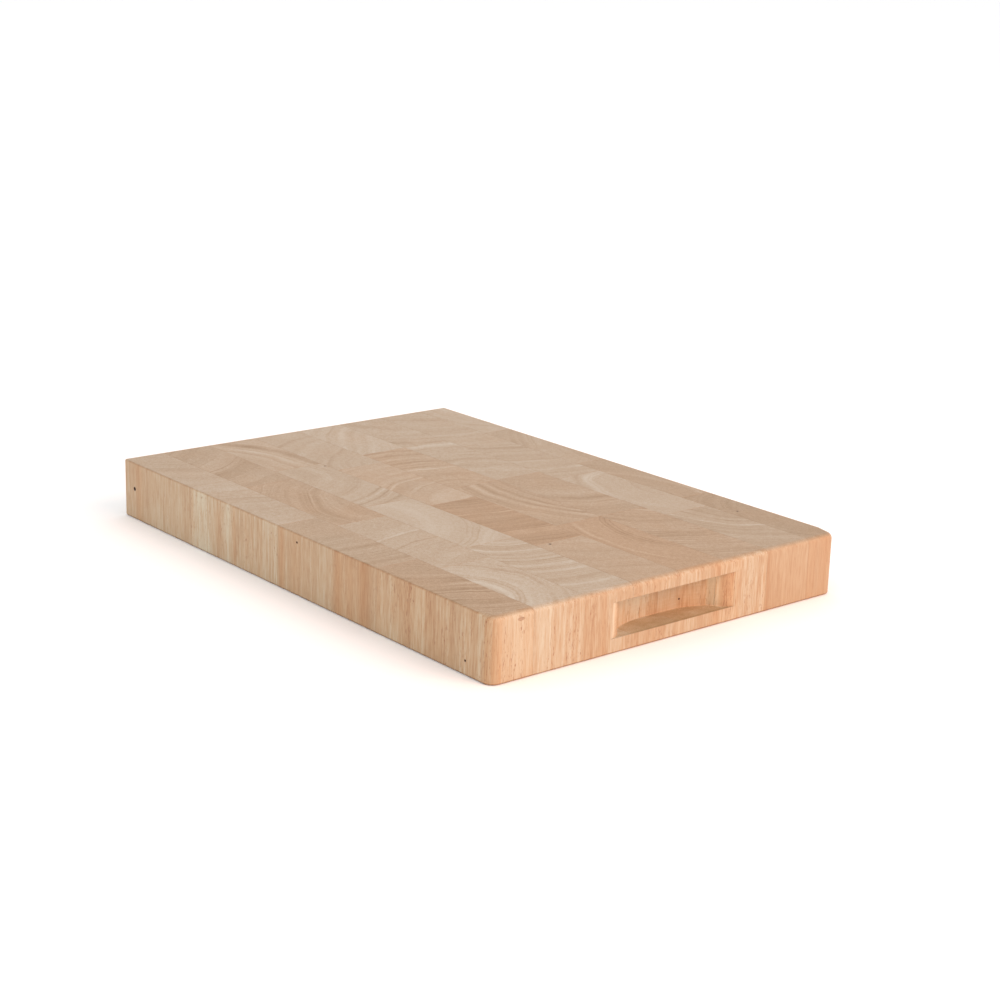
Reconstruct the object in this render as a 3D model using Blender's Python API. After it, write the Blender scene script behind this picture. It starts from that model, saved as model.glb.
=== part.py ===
"""End-grain cutting board: eight rows of glued hardwood blocks, with a finger grip in each short end.

Metres, +Z up. X runs along the board's length and Y across its width. The origin lies on the surface that
the board rests on, under the middle of the board. Rows count from the front (-Y) to the back, and the blocks
of a row count from the right-hand end (+X). The wood's grain stands upright in every block.
"""

import math

import bmesh
import bpy

# The board
BOARD_LENGTH = 0.500
BOARD_WIDTH = 0.350
BOARD_THICKNESS = 0.050

# The layout of the blocks
FRONT_ROW_WIDTH = 0.0377  # the front row is planed narrower, and the back row takes what is left
ROW_WIDTH = 0.0468
BLOCK_LENGTH = 0.1295
FIRST_BLOCK_LENGTHS = (0.1320, 0.1060, 0.1345, 0.1085, 0.1380, 0.1380, 0.1120, 0.1400)
BLOCKS_PER_ROW = 4
GLUE_LINE = 0.0003

# The machined edges
ROUNDED_CORNER_RADIUS = 0.008  # upright corners of the right-hand end
SQUARE_CORNER_RADIUS = 0.002  # upright corners of the left-hand end
END_ROUNDING = 0.005  # top edge of the right-hand end
EDGE_EASE = 0.0015  # every other edge
ROUNDING_RUNOUT = 0.010  # length over which the end's rounding dies away along the long sides
RUNOUT_STEPS = 4
CORNER_STEPS = 8
TOP_EDGE_STEPS = 4
BOTTOM_EDGE_STEPS = 2

# The finger grips: a hollow cut by a disc that moves sideways, with a rounded shoulder at each side
GRIP_LENGTH = 0.129
GRIP_HEIGHT = 0.0275
GRIP_DEPTH = 0.022
GRIP_CUTTER_RADIUS = 0.060
GRIP_ARC_STEPS = 8
SHOULDER_RADIUS = 0.026
SHOULDER_FIRST_SLOPE = math.radians(12)  # of the shoulder's surface, where it leaves the end's face
SHOULDER_LAST_SLOPE = math.radians(62)  # where the hollow takes over
SHOULDER_STEPS = 6
GRIP_ROWS = (3, 4, 5, 6)

# How far a cutter reaches past the surface that it cuts
OVERCUT = 0.010

# The colour of the wood by its shade, and the shade of each block, by row and from the right-hand end
WOOD_COLOURS = {
    "pale": (0.66, 0.50, 0.36, 1.0),
    "cream": (0.60, 0.44, 0.31, 1.0),
    "tan": (0.54, 0.38, 0.26, 1.0),
    "brown": (0.47, 0.31, 0.20, 1.0),
}
WOOD_ROUGHNESS = 0.55
BLOCK_SHADES = (
    ("brown", "tan", "cream", "tan"),
    ("pale", "cream", "brown", "brown"),
    ("pale", "pale", "tan", "tan"),
    ("tan", "brown", "tan", "tan"),
    ("brown", "brown", "tan", "cream"),
    ("brown", "brown", "cream", "tan"),
    ("tan", "pale", "cream", "tan"),
    ("brown", "brown", "tan", "cream"),
)


def clear_scene():
    """Remove every object of the scene."""
    for obj in list(bpy.data.objects):
        bpy.data.objects.remove(obj, do_unlink=True)


def wood_material(name, shade):
    """Return a plain wood material in one shade."""
    material = bpy.data.materials.new(name)
    material.use_nodes = True
    shader = material.node_tree.nodes["Principled BSDF"]
    shader.inputs["Base Color"].default_value = WOOD_COLOURS[shade]
    shader.inputs["Roughness"].default_value = WOOD_ROUGHNESS
    shader.inputs["Metallic"].default_value = 0.0
    return material


def add_object(name, bm):
    """Turn a bmesh into an object of the scene, with its faces pointing out."""
    bmesh.ops.recalc_face_normals(bm, faces=bm.faces)
    mesh = bpy.data.meshes.new(name)
    bm.to_mesh(mesh)
    bm.free()
    obj = bpy.data.objects.new(name, mesh)
    bpy.context.scene.collection.objects.link(obj)
    return obj


def mark_as_cutter(obj):
    """Hide an object that only shapes others."""
    obj.hide_render = True
    obj.display_type = "WIRE"


def row_edges():
    """Return the Y of each boundary between rows, from the front side to the back side."""
    front = -BOARD_WIDTH / 2
    first = front + FRONT_ROW_WIDTH
    inner = [first + ROW_WIDTH * i for i in range(len(FIRST_BLOCK_LENGTHS) - 1)]
    return [front] + inner + [-front]


def block_ends(row):
    """Return the X of each joint of a row, from the right-hand end to the left-hand end."""
    right = BOARD_LENGTH / 2
    first = right - FIRST_BLOCK_LENGTHS[row - 1]
    inner = [first - BLOCK_LENGTH * i for i in range(BLOCKS_PER_ROW - 1)]
    return [right] + inner + [-right]


def corner_points(centre, radius, start):
    """Return (x, y, outward angle) along a quarter circle that starts at an angle in degrees."""
    points = []
    for step in range(CORNER_STEPS + 1):
        angle = math.radians(start + 90 * step / CORNER_STEPS)
        x = centre[0] + radius * math.cos(angle)
        y = centre[1] + radius * math.sin(angle)
        points.append((x, y, angle))
    return points


def runout_points(side):
    """Return (x, y, outward angle, rounding) along a long side, where the end's rounding dies away."""
    angle = math.radians(90 * side)
    start = BOARD_LENGTH / 2 - ROUNDED_CORNER_RADIUS
    points = []
    for step in range(1, RUNOUT_STEPS + 1):
        share = step / RUNOUT_STEPS
        x = start - ROUNDING_RUNOUT * share
        rounding = END_ROUNDING + (EDGE_EASE - END_ROUNDING) * share
        points.append((x, side * BOARD_WIDTH / 2, angle, rounding))
    return points


def board_outline():
    """Return (x, y, outward angle, top rounding) round the board, counter-clockwise from the front right."""
    half_x = BOARD_LENGTH / 2
    half_y = BOARD_WIDTH / 2
    right = half_x - ROUNDED_CORNER_RADIUS
    left = SQUARE_CORNER_RADIUS - half_x
    outline = []
    outline += reversed(runout_points(-1))
    for side, start in ((-1, -90), (1, 0)):
        centre = (right, side * (half_y - ROUNDED_CORNER_RADIUS))
        outline += [p + (END_ROUNDING,) for p in corner_points(centre, ROUNDED_CORNER_RADIUS, start)]
    outline += runout_points(1)
    for side, start in ((1, 90), (-1, 180)):
        centre = (left, side * (half_y - SQUARE_CORNER_RADIUS))
        outline += [p + (EDGE_EASE,) for p in corner_points(centre, SQUARE_CORNER_RADIUS, start)]
    return outline


def ring(bm, outline, share, top):
    """Add the board's outline as a closed ring, part of the way round its top or its bottom edge."""
    angle = math.radians(90 * share)
    verts = []
    for x, y, outward, top_rounding in outline:
        rounding = top_rounding if top else EDGE_EASE
        inset = rounding * (1 - math.cos(angle))
        rise = rounding * (1 - math.sin(angle))
        z = BOARD_THICKNESS - rise if top else rise
        verts.append(bm.verts.new((x - inset * math.cos(outward), y - inset * math.sin(outward), z)))
    return verts


def board_blank():
    """Model the glued-up board as one machined solid, which gives the blocks their outer faces."""
    bm = bmesh.new()
    outline = board_outline()
    rings = [ring(bm, outline, 1 - i / BOTTOM_EDGE_STEPS, False) for i in range(BOTTOM_EDGE_STEPS + 1)]
    rings += [ring(bm, outline, i / TOP_EDGE_STEPS, True) for i in range(TOP_EDGE_STEPS + 1)]
    for lower, upper in zip(rings, rings[1:]):
        for i in range(len(outline)):
            j = (i + 1) % len(outline)
            bm.faces.new((lower[i], lower[j], upper[j], upper[i]))
    bm.faces.new(rings[0])
    bm.faces.new(rings[-1])
    blank = add_object("board_blank", bm)
    mark_as_cutter(blank)
    return blank


def shoulder_wall():
    """Return (depth into the end, y) along the shoulder of a grip, from the end's face inwards."""
    wall = []
    for step in range(SHOULDER_STEPS + 1):
        slope = SHOULDER_FIRST_SLOPE + (SHOULDER_LAST_SLOPE - SHOULDER_FIRST_SLOPE) * step / SHOULDER_STEPS
        depth = SHOULDER_RADIUS * (math.cos(SHOULDER_FIRST_SLOPE) - math.cos(slope))
        width = SHOULDER_RADIUS * (math.sin(slope) - math.sin(SHOULDER_FIRST_SLOPE))
        wall.append((depth, GRIP_LENGTH / 2 - width))
    return wall


def grip_outline():
    """Return (depth into the end, y) along the wall of a grip."""
    wall = shoulder_wall()
    reach = GRIP_CUTTER_RADIUS - GRIP_DEPTH
    shoulder_depth, shoulder_y = wall[-1]
    widest = math.acos((shoulder_depth + reach) / GRIP_CUTTER_RADIUS)
    travel = shoulder_y - GRIP_CUTTER_RADIUS * math.sin(widest)
    for step in range(1, GRIP_ARC_STEPS + 1):
        angle = widest * (1 - step / GRIP_ARC_STEPS)
        depth = GRIP_CUTTER_RADIUS * math.cos(angle) - reach
        wall.append((depth, travel + GRIP_CUTTER_RADIUS * math.sin(angle)))
    return wall + [(depth, -y) for depth, y in reversed(wall)]


def grip_cutter(name, side):
    """Model the space of the grip in the right-hand (1) or the left-hand (-1) end."""
    bm = bmesh.new()
    half = GRIP_LENGTH / 2
    outline = [(-OVERCUT, half)] + grip_outline() + [(-OVERCUT, -half)]
    bottom = (BOARD_THICKNESS - GRIP_HEIGHT) / 2
    verts = [bm.verts.new((side * (BOARD_LENGTH / 2 - depth), y, bottom)) for depth, y in outline]
    face = bm.faces.new(verts)
    walls = bmesh.ops.extrude_face_region(bm, geom=[face])
    raised = [v for v in walls["geom"] if isinstance(v, bmesh.types.BMVert)]
    bmesh.ops.translate(bm, verts=raised, vec=(0, 0, GRIP_HEIGHT))
    cutter = add_object(name, bm)
    mark_as_cutter(cutter)
    return cutter


def block_side(edges, index, towards):
    """Return one side of a block: half a glue line short of its neighbour, or past the board's own side."""
    outermost = index in (0, len(edges) - 1)
    margin = -OVERCUT if outermost else GLUE_LINE / 2
    return edges[index] + margin * towards


def box_mesh(low, high):
    """Return a bmesh box between two corners."""
    bm = bmesh.new()
    bmesh.ops.create_cube(bm, size=1)
    size = [b - a for a, b in zip(low, high)]
    middle = [(a + b) / 2 for a, b in zip(low, high)]
    bmesh.ops.scale(bm, verts=bm.verts, vec=size)
    bmesh.ops.translate(bm, verts=bm.verts, vec=middle)
    return bm


def cut(obj, cutter, operation):
    """Add a Boolean modifier to an object."""
    modifier = obj.modifiers.new(cutter.name, "BOOLEAN")
    modifier.object = cutter
    modifier.operation = operation
    modifier.solver = "EXACT"


def add_block(row, number, blank, grips):
    """Add one block, cut to the shape of the machined board and to the grip that reaches into it."""
    xs = block_ends(row)
    ys = row_edges()
    high_x = block_side(xs, number - 1, -1)
    low_x = block_side(xs, number, 1)
    low_y = block_side(ys, row - 1, 1)
    high_y = block_side(ys, row, -1)
    low = (low_x, low_y, -OVERCUT)
    high = (high_x, high_y, BOARD_THICKNESS + OVERCUT)
    name = f"row{row}_block{number}"
    block = add_object(name, box_mesh(low, high))
    cut(block, blank, "INTERSECT")
    if row in GRIP_ROWS and number in grips:
        cut(block, grips[number], "DIFFERENCE")
    shade = BLOCK_SHADES[row - 1][number - 1]
    block.data.materials.append(wood_material(name + "_wood", shade))


def build():
    """Model the whole board."""
    clear_scene()
    blank = board_blank()
    grips = {
        1: grip_cutter("right_grip", 1),
        BLOCKS_PER_ROW: grip_cutter("left_grip", -1),
    }
    for row in range(1, len(FIRST_BLOCK_LENGTHS) + 1):
        for number in range(1, BLOCKS_PER_ROW + 1):
            add_block(row, number, blank, grips)


build()
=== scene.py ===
"""Looks for the end-grain cutting board: 32 blocks of rubberwood glued into eight rows, with a finger grip
in each short end.

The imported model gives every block's place. Each block is rebuilt here as its own finely machined piece, and
its wood is procedural: growth rings round an upright pith line, pores and fibres along the grain, a darker
glue line along the joints and rubbed edges.

Metres, +Z up. X runs along the board towards the end with the rounded corners, Y across it to the back side.
"""

import math
import random

import bmesh
import bpy
from mathutils import Matrix, Vector


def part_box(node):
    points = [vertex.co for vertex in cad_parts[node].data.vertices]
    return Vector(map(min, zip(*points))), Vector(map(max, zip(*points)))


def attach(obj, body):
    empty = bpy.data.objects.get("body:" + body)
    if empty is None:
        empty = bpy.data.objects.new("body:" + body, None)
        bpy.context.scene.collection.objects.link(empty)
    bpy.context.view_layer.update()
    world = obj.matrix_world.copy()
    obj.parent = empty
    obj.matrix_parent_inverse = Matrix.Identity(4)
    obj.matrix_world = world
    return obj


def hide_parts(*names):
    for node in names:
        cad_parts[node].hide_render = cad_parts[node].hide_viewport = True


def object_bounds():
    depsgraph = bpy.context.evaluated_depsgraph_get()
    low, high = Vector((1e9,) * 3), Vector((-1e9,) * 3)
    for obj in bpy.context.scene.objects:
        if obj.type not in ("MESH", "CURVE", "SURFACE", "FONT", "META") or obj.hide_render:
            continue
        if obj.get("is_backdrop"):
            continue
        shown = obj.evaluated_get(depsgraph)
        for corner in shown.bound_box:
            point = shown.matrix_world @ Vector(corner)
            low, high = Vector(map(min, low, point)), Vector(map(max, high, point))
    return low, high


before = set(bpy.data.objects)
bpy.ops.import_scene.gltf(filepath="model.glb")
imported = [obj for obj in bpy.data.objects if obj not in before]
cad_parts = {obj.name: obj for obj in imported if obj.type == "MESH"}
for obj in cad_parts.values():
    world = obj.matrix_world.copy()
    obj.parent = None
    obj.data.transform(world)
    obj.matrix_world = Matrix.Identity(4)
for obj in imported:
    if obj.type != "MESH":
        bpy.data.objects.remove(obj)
CAD_LOW, CAD_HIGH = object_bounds()
MIDDLE = (CAD_LOW + CAD_HIGH) / 2

MM = 0.001
TOLERANCE = 0.01 * MM  # places closer than this count as the same

# The machined board, as in the CAD model, with finer steps
ROUNDED_CORNER_RADIUS = 8 * MM
SQUARE_CORNER_RADIUS = 2 * MM
END_ROUNDING = 5 * MM
EDGE_EASE = 1.5 * MM
ROUNDING_RUNOUT = 10 * MM
CORNER_STEPS = 20
TOP_EDGE_STEPS = 10
BOTTOM_EDGE_STEPS = 5
RUNOUT_STEPS = 12

# The finger grips: a hollow cut by a disc that moves sideways, with a rounded shoulder at each side
GRIP_LENGTH = 129 * MM
GRIP_HEIGHT = 27.5 * MM
GRIP_DEPTH = 22 * MM
GRIP_CUTTER_RADIUS = 60 * MM
GRIP_ARC_STEPS = 40
GRIP_EASE_STEPS = 4
GRIP_LIP_EASE = 0.5 * MM
GRIP_ROOT_RADIUS = 1.2 * MM
GRIP_ROOT_START = 1.5 * MM  # depth from the end's face where the rounded corner of the wall starts
SHOULDER_RADIUS = 26 * MM
SHOULDER_FIRST_SLOPE = math.radians(12)  # of the shoulder's surface, where it leaves the end's face
SHOULDER_LAST_SLOPE = math.radians(62)  # where the hollow takes over
SHOULDER_STEPS = 24

# The blocks
GLUE_LINE = 0.3 * MM  # the gap between two blocks of the CAD model
SEEN_GLUE_LINE = 0.04 * MM  # the gap between two blocks here
JOINT_EASE = 0.1 * MM  # how much sandpaper takes off the edges along a joint
OVERCUT = 10 * MM  # how far a cutter or a block's space reaches past the board
SHARP_ANGLE = math.radians(28)  # edges sharper than this aren't shaded smooth
NORMAL_WEIGHT = 100

# Worm holes: block, point in millimetres, face, width and depth in millimetres
WORM_HOLES = (
    ("row1_block4", (-233, -175, 27), "front", 3.0, 6),
    ("row1_block1", (222, -175, 11), "front", 1.6, 5),
    ("row1_block2", (15, -175, 43), "front", 1.6, 4),
    ("row8_block1", (164, 153, 50), "top", 1.6, 4),
    ("row4_block1", (145, -32, 50), "top", 1.9, 4),
    ("row3_block3", (-135, -45, 50), "top", 1.5, 4),
    ("row5_block1", (228.4, 25, 18.5), "right", 1.3, 6),
)
WORM_HOLE_SIDES = 18
WORM_HOLE_TAPER = 0.6  # the width at the bottom of a hole, against its width at the surface
WORM_HOLE_OVERSHOOT = 0.5 * MM
WORM_HOLE_OVAL = 0.18  # how far a hole is from round, as a share of its width
WORM_HOLE_LOBES = 0.12

# A chip in the end's face: block, point and size in millimetres
CHIPS = (("row1_block1", (250, -149, 44.5), (1.0, 5.0, 2.2)),)
CHIP_SLANT = 0.25
CHIP_DETAIL = 3


def wood(pith, spacing, rings, shade, red, flecks, *bands, calm=None, bend=1):
    """Gather what makes the wood of one block.

    pith: where the rings are centred, in millimetres from the block's middle, towards the right-hand end and
    towards the back. spacing: of the rings, in millimetres. rings: how strongly they show. shade and red:
    steps paler and steps redder than the average block. flecks: how strongly the pores show along the grain.
    bands: (distance, half width, shade) of the single rings that stand out, with the distance in millimetres
    away from the pith, starting at the block's middle. calm: the rings fade out from the second place to the
    first, in millimetres along X from the block's middle. bend: how much the rings wander."""
    return locals()


BLOCKS = {
    "row1_block1": wood((-130, 60), 6, 1.2, -2, 1, 0.9,
        (-22, 4, -0.4), (10, 4, 0.4), (18, 1.2, -0.6), (24, 1.2, -0.6), (30, 1.2, -0.7), (48, 3, -0.4),
        calm=(-60, 0)),
    "row1_block2": wood((-200, 20), 9, 0.6, -1, 0.3, 0.5,
        (14, 5, -0.5), (21, 2, 0.5), (30, 1.5, -0.5), (35, 1.5, -0.6), (44, 1.5, -0.7), (52, 5, -0.6),
        calm=(-50, 25)),
    "row1_block3": wood((-120, 40), 11, 0.4, 1, 0, 1.0,
        (-45, 14, 0.4), (-12, 4, -0.4), (22, 6, -0.3), (50, 8, 0.3)),
    "row1_block4": wood((-130, 70), 12, 0.4, 0.5, 0, 0.5,
        (-38, 5, -0.4), (2, 5, -0.4), (20, 10, 0.3), (45, 10, 0.3)),
    "row2_block1": wood((3, -58), 8, 0.7, 3, -1, 1.0,
        (-17, 6, 0.75), (-10, 2, -0.9), (-3, 4, 0.3), (15, 3, -0.7), (20, 2.5, 0.3), (25, 3, -0.6)),
    "row2_block2": wood((150, 30), 14, 0.5, 1, 0, 0.5,
        (-48, 8, 0.6), (-34, 4, -0.3), (-4, 2, -0.9), (-12, 5, 0.3), (18, 2.5, 0.7), calm=(-60, -15)),
    "row2_block3": wood((37, 82), 4, 0.7, -1, 1, 0.5,
        (-28, 8, -0.4), (-11, 4, 0.6), (0, 4, -0.7), (6, 1, -0.9), (9.5, 1, -0.9), (13, 1, -0.7),
        (20, 5, 0.3), (31, 4, 0.3)),
    "row2_block4": wood((-130, -73), 13, 0.6, -1.5, 0.5, 0.5,
        (-28, 16, 0.3), (0, 1.3, -1.3), (12, 6, -0.3), (47, 3, 0.4)),
    "row3_block1": wood((-93, 27), 5.5, 0.8, 1.6, -1, 0.8,
        (-52, 2, 0.8), (-45, 3, -0.5), (-37, 2, 0.7), (-30, 2, -0.4), (-20, 3, -0.6), (-12, 3, -0.7),
        (-1, 4, 0.8), (6, 1.5, -0.6), (14, 4, 0.6), (21, 1.5, -0.8), (33, 6, -0.8), (46, 5, 0.8), bend=0.4),
    "row3_block2": wood((-35, -70), 12, 0.3, 3.0, -1, 0.4,
        (-5, 12, 0.3), (21, 1.2, -0.5), (25.5, 1.2, -0.6), (30, 1.5, -0.7), (37, 4, 0.3)),
    "row3_block3": wood((-52, -47), 10, 0.35, 1, 0, 0.4,
        (-20, 10, 0.2), (11, 1.5, -0.5), (30, 2.5, -0.9), (35, 2, 0.5), (41, 2, -0.8), (46, 2, 0.5),
        (55, 3, -0.8)),
    "row3_block4": wood((37, -114), 9, 0.5, 1, 0.5, 0.6,
        (-14, 4, 0.5), (-8, 3, -0.4), (0, 5, 0.8), (14, 7, -1.3), (24, 3, 0.3)),
    "row4_block1": wood((-250, 150), 9, 0.35, 0, 1, 0.9,
        (-40, 10, 0.3), (22, 4, -0.2)),
    "row4_block2": wood((-215, 45), 9, 1.0, -3, 2, 0.6,
        (-62, 4, -0.7), (-26, 2, 0.6), (2, 2.5, 0.7), (55, 5, -0.4)),
    "row4_block3": wood((90, 35), 11, 0.6, 1, 1, 0.4,
        (-45, 14, 0.5), (-20, 1.5, -0.6), (-9, 7, -0.5), (2, 1.5, 0.6), (6, 1.5, -0.8), (11, 2, 0.4),
        (42, 3, -0.6), (52, 14, 0.4)),
    "row4_block4": wood((120, 80), 13, 0.4, 1, 0, 0.6,
        (-20, 5, -0.4), (-38, 3, -0.4), (10, 5, 0.4), (32, 3, -0.3)),
    "row5_block1": wood((-19, 88), 9, 0.5, -1, 2.5, 0.5,
        (-17, 1.3, -1.4), (-13, 1.1, -1.3), (-9, 1.3, -1.2), (15, 3, 0.6), (19, 2, -0.6), (26, 3, 0.5),
        calm=(65, -20)),
    "row5_block2": wood((-25, 117), 8, 0.6, -1, 1, 0.5,
        (-30, 10, 0.3), (-9, 2, -0.7), (-3, 3, 0.6), (2, 2.5, -0.8), (9, 3, 0.55), (16, 3, -0.7),
        (24, 3, 0.5)),
    "row5_block3": wood((86, -28), 10, 0.6, 0, 1, 0.4,
        (-28, 5, -0.4), (-6, 3, 1.0), (2, 2.5, -0.9), (10, 3, -0.7), (18, 4, -0.8), (31, 4, 0.5),
        (41, 4, -0.6), (50, 3, 0.4), (58, 3, -1.0)),
    "row5_block4": wood((125, 175), 12, 0.4, 2.7, 0, 0.5,
        (-20, 3, 0.6), (-11, 4, -0.5), (-2, 3, -0.7), (6, 5, 0.9), (18, 4, -0.3), (30, 5, -0.5)),
    "row6_block1": wood((-130, 75), 8, 1.15, -1, 1, 0.9,
        (-40, 12, -0.3), (-8, 1.5, 0.6), (0, 1.3, -0.7), (8, 1.3, -0.7), (16, 1.5, 0.6), (24, 1.3, -0.8),
        (36, 2, 0.7)),
    "row6_block2": wood((-110, 60), 12, 0.5, -1, 0.7, 0.5,
        (0, 3, 0.4), (12, 8, -0.5), (28, 3, 0.3), (50, 8, -0.3), calm=(-60, 0)),
    "row6_block3": wood((120, -45), 10, 0.5, 1, 0, 0.4,
        (-16, 4, -0.4), (-7, 2, 0.7), (2, 3, -0.7), (26, 3, -0.6), (12, 4, 0.3), (55, 8, 0.9)),
    "row6_block4": wood((-70, 50), 10, 0.4, 1, 0, 0.7,
        (-15, 6, -0.5), (0, 5, 0.3), (39, 5, -0.5)),
    "row7_block1": wood((-60, 67), 6.5, 0.9, -0.7, 0, 0.15,
        (-18, 3, -0.4), (-7, 2.5, 1.0), (5, 4, -0.4), (26, 2.5, 0.6), (40, 8, -0.3)),
    "row7_block2": wood((0, 44), 9, 0.5, 1.5, -1, 0.3,
        (14, 2.5, -0.2), (-14, 24, -0.3), (23, 7, 0.9), (34, 4, -0.4), calm=(65, 0)),
    "row7_block3": wood((-114, 37), 11, 0.5, 0.5, 0, 0.4,
        (-40, 6, -0.4), (-12, 6, -0.4), (8, 5, 0.3), (38, 5, 0.5), (50, 4, -0.4)),
    "row7_block4": wood((-150, 60), 12, 0.5, 1, 0, 0.3,
        (-31, 3, -0.5), (7, 8, -0.4), (25, 6, 0.3)),
    "row8_block1": wood((20, 60), 9, 0.6, -3.0, 0.4, 0.15,
        (-10, 4, 0.3), (16, 3, -0.5), (50, 8, -0.3)),
    "row8_block2": wood((40, -90), 10, 0.6, -2, 0.4, 0.3,
        (-8, 5, -0.3), (3, 4, 0.6), (14, 4, -0.3)),
    "row8_block3": wood((60, 120), 11, 0.6, 0, 0, 0.4,
        (-24, 5, -0.4), (6, 6, 0.3), (30, 5, -0.4)),
    "row8_block4": wood((-40, 110), 11, 0.5, 2, 0, 0.4,
        (-14, 5, 0.4), (12, 5, -0.4)),
}

# The upright faces of some blocks: how many steps paler and how many steps redder they are than the average
# block's, and how strongly their grain shows against it, on a long side and on an end
SIDES = {
    "row1_block1": (0, 1, 1.1, 0.65),
    "row1_block2": (-0.4, 0.3, 0.9, 1),
    "row1_block3": (1.4, 0, 1.1, 1),
    "row1_block4": (0, 0, 0.85, 1),
    "row2_block1": (2.0, -1, 1, 0.8),
    "row3_block1": (0.2, -1, 1, 1.0),
    "row4_block1": (0.1, 0.2, 1, 1.0),
    "row5_block1": (0.1, 1.2, 1, 1.0),
    "row6_block1": (1.1, 0.9, 1, 1.1),
    "row7_block1": (-1.0, 0, 1, 0.65),
    "row8_block1": (-1.6, 0.8, 0.8, 0.5),
}

# Stripes of other wood on the upright faces: (place, half width, shade, redness). The place is in millimetres
# along the board's X on a long side, and along its Y on an end, where the stripes lean with the depth.
STRIPE_LEAN = 0.7
STRIPES = {
    "row1_block1": (
        (119, 1, -0.4, 0), (132, 14, 0.2, -0.3), (157, 9, -0.9, 0), (162, 1, -0.8, 0), (172, 1, -0.6, 0),
        (181, 1, -0.8, 0), (200, 2, 0.5, 0), (207, 1, -0.7, 0), (222, 3, 0.8, 0), (231, 1, -0.9, 0),
        (236, 3, 0.5, 0), (213, 12, 0.3, -0.5), (244, 5, -0.8, 1.2), (-171, 3, -0.9, 0.8),
        (-167, 2.5, -0.5, 0.8), (-152, 22, 1.5, -0.3),
    ),
    "row1_block2": (
        (-6, 6, -0.6, 1.5), (12, 10, 0.1, 0.5), (37, 1.5, -0.6, 0), (50, 10, 0.2, -0.3),
        (70, 10, -0.7, 1.9), (84, 12, -0.55, 1.4), (101, 14, -0.8, 1.6),
    ),
    "row1_block3": (
        (-137, 5, 0.4, 0.8), (-121, 21, 1.7, -0.8), (-98, 6, -0.4, 0.3), (-92, 1.2, -0.5, -0.5),
        (-84, 7, 0.9, -0.8), (-74, 4, -0.6, 1.0), (-57, 8, 0, 0.8), (-48, 5, -0.5, 0.8),
        (-37, 7, -0.7, 0.6), (-22, 10, 0, 0),
    ),
    "row1_block4": ((-226, 8, -0.5, 1), (-218.5, 0.8, -0.6, 0), (-175, 28, 0, -0.8), (-151, 8, -0.5, -0.5)),
    "row2_block1": ((-119, 16, 1.1, 0), (-120, 0.8, -0.6, 0.5), (-99.5, 3, -0.6, 0.5), (-94, 1.6, 1, -0.5)),
    "row3_block1": (
        (-88, 3, -0.3, 0.5), (-83, 2, -0.2, 0.4), (-71, 7, -1.5, 1.6), (-57, 6, -0.9, 1.0),
        (-48, 6, -0.5, 0.4),
    ),
    "row4_block1": (
        (-39, 8, -0.8, 0.2), (-32, 5, 0.2, 0), (-21, 4, -0.5, 0.5), (-4, 8, 0.4, -0.7), (1, 1.5, -0.6, 0.3),
    ),
    "row5_block1": (
        (13, 14, 1.0, -1.0), (28.5, 1, -0.5, 0), (24, 9, 0, -0.9), (34, 10, 0, -1.2), (43, 5, -0.8, 0.2),
    ),
    "row6_block1": ((65, 3, 0, 0.5), (80, 18, 0.2, -1.2), (92, 3, 0.6, -0.5)),
    "row7_block1": ((98.5, 2, -1, 0.8), (101, 4, -0.4, 0.5)),
    "row8_block1": ((155, 4, 0.2, -0.6), (164, 3, -0.4, 0.3)),
}

# The camera, seen from the middle of what it looks at
VIEW_TARGET = (-0.0355, 0.0691, 0.025)
VIEW_AZIMUTH = 49.892  # degrees from -Y towards +X
VIEW_ELEVATION = 16.104
VIEW_ROLL = 1.709
VIEW_DISTANCE = 1.6942
LENS = 70.71
SENSOR = 36.0
FARTHEST = 200

# The light
WORLD_STRENGTH = 1.0
KEY_DIRECTION = (0.80, 0.28, 0.55)
KEY_DISTANCE = 6.0
KEY_SIZE = 4.4
KEY_POWER = 250.0
KEY_COLOUR = (1.0, 0.56, 0.40)
FLOOR_SIZE = 60.0
FLOOR_GAP = 0.2 * MM
FLOOR_ROUGHNESS = 0.9
WHITE = (1.0, 1.0, 1.0)


# ---------------- the board's shape


def corner_points(centre, radius, start):
    """Return (x, y, outward angle) along a quarter circle that starts at an angle in degrees."""
    points = []
    for step in range(CORNER_STEPS + 1):
        angle = math.radians(start + 90 * step / CORNER_STEPS)
        x = centre[0] + radius * math.cos(angle)
        y = centre[1] + radius * math.sin(angle)
        points.append((x, y, angle))
    return points


def runout_points(side):
    """Return (x, y, outward angle, rounding) along a long side, where the end's rounding dies away."""
    angle = math.radians(90 * side)
    start = CAD_HIGH.x - ROUNDED_CORNER_RADIUS
    points = []
    for step in range(1, RUNOUT_STEPS + 1):
        share = step / RUNOUT_STEPS
        x = start - ROUNDING_RUNOUT * share
        rounding = END_ROUNDING + (EDGE_EASE - END_ROUNDING) * share
        points.append((x, side * CAD_HIGH.y, angle, rounding))
    return points


def board_outline():
    """Return (x, y, outward angle, top rounding) round the board, counter-clockwise from the front right."""
    right = CAD_HIGH.x - ROUNDED_CORNER_RADIUS
    left = CAD_LOW.x + SQUARE_CORNER_RADIUS
    outline = runout_points(-1)[::-1]
    for side, start in ((-1, -90), (1, 0)):
        centre = (right, side * (CAD_HIGH.y - ROUNDED_CORNER_RADIUS))
        outline += [p + (END_ROUNDING,) for p in corner_points(centre, ROUNDED_CORNER_RADIUS, start)]
    outline += runout_points(1)
    for side, start in ((1, 90), (-1, 180)):
        centre = (left, side * (CAD_HIGH.y - SQUARE_CORNER_RADIUS))
        outline += [p + (EDGE_EASE,) for p in corner_points(centre, SQUARE_CORNER_RADIUS, start)]
    return outline


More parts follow.
